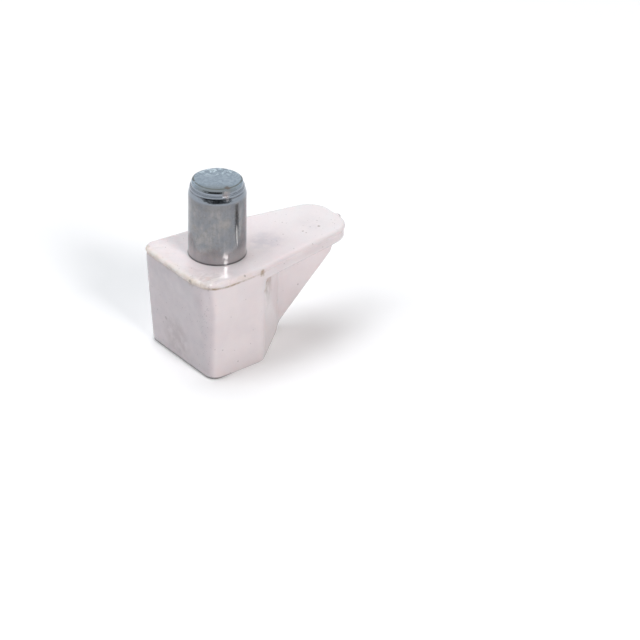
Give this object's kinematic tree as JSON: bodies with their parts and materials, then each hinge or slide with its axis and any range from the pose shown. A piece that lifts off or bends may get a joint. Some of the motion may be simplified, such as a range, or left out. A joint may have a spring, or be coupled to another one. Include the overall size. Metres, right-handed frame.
{
  "type": "shelf support pin",
  "caption": "Moulded plastic shelf support on a steel pin: a block with a broad shelf end, and a tapering back arm stiffened by a web.",
  "frame": {"origin": "where the pin's axis meets the seating face, which lies on the cabinet's side wall", "axes": "+Z along the pin to its free end, +X along the arm to its tip, Y across the width"},
  "size_m": [0.0179, 0.0098, 0.0164],
  "materials": {
    "plastic": "glossy off-white moulded plastic with a faint pink cast",
    "zinc_steel": "bright zinc-plated steel with drawing marks along the pin"
  },
  "bodies": {
    "root": {"bracket": "plastic", "pin": "zinc_steel"}
  },
  "joints": []
}
